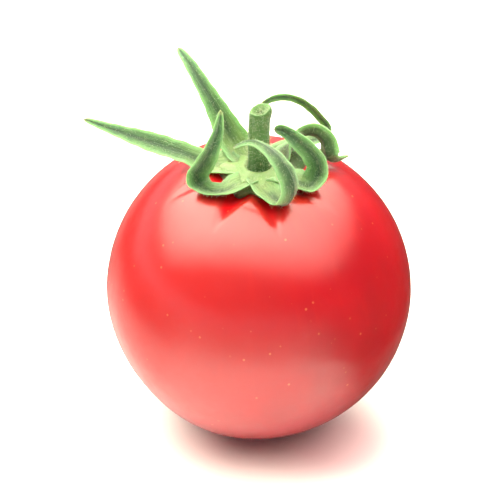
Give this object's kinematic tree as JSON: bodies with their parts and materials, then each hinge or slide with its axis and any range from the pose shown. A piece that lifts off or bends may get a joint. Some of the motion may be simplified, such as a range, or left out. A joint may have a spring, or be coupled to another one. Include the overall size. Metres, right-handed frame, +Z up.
{
  "type": "cherry tomato",
  "caption": "Ripe round red cherry tomato with a curled green calyx and a short stub of stalk, resting on a small flat spot with its stalk upright.",
  "frame": {"origin": "middle of the small flat spot under the fruit that it rests on", "axes": "+Z up along the stalk, -Y towards the front, where the picture looks from, +X to its right"},
  "size_m": [0.0301, 0.0279, 0.0346],
  "materials": {
    "tomato_skin": "smooth waxy ripe skin, soft gloss",
    "sepal_green": "matte green leaf, finely hairy, paler at its edges",
    "stalk_green": "matte green stalk, finely hairy"
  },
  "bodies": {
    "root": {"fruit": "tomato_skin", "calyx": "sepal_green", "pedicel": "stalk_green"}
  },
  "joints": []
}
